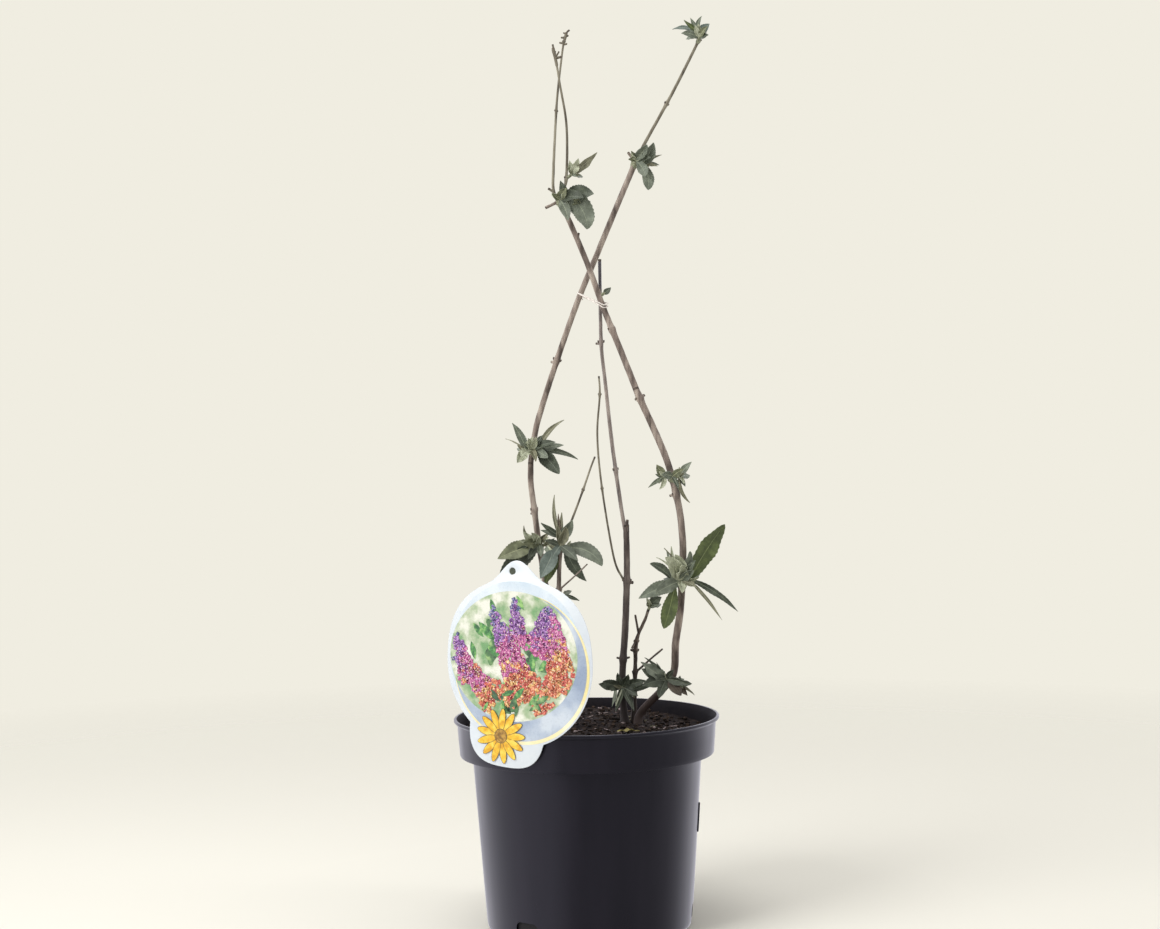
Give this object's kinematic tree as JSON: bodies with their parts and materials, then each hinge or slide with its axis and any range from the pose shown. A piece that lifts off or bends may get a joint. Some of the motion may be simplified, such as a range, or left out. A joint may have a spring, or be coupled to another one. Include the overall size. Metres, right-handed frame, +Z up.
{
  "type": "potted butterfly bush",
  "caption": "Young butterfly bush with long bare stems, tied where they cross, small tufts of grey-green leaves, a round label card and a round nursery pot of soil.",
  "frame": {"origin": "centre of the pot's flat underside", "axes": "+Z up along the plant, -Y towards the viewer of the picture, +X to the viewer's right"},
  "size_m": [0.2423, 0.2448, 0.7762],
  "materials": {
    "pot_plastic": "satin black moulded plastic",
    "soil": "dark crumbly potting soil",
    "label_card": "printed plastic card, plain back",
    "tie_string": "thin white string",
    "bark": "smooth pinkish brown bark",
    "dark_bark": "dark scaly bark",
    "leaf": "felted grey-green leaf"
  },
  "bodies": {
    "root": {"pot": "pot_plastic", "potting_soil": "soil", "label_card": "label_card", "stem_tie": "tie_string", "left_stem_lower": "bark", "left_stem_middle": "bark", "left_stem_tip": "bark", "right_stem_lower": "bark", "right_stem_middle": "bark", "right_stem_upper": "bark", "fork_left_twig": "bark", "fork_right_twig": "bark", "middle_stem_lower": "bark", "middle_stem_upper": "bark", "middle_stem_side_twig": "bark", "short_left_stem": "bark", "short_left_stem_twig": "bark", "short_right_stem": "dark_bark", "leaves_left_low_a": "leaf", "leaves_left_low_b": "leaf", "leaves_left_middle_a": "leaf", "leaves_left_middle_b": "leaf", "leaves_left_upper": "leaf", "leaves_left_top": "leaf", "leaves_short_left_top": "leaf", "leaves_short_left_right": "leaf", "leaves_short_left_left": "leaf", "leaves_short_left_foot": "leaf", "leaves_right_side_right": "leaf", "leaves_right_side_left": "leaf", "leaves_right_side_front": "leaf", "leaves_right_middle_a": "leaf", "leaves_right_middle_b": "leaf", "leaves_fork": "leaf", "leaves_fork_upper": "leaf", "leaves_middle_foot_a": "leaf", "leaves_middle_foot_b": "leaf", "leaves_right_foot_a": "leaf", "leaves_right_foot_b": "leaf", "leaves_short_right_top": "leaf", "leaf_at_tie": "leaf"}
  },
  "joints": []
}
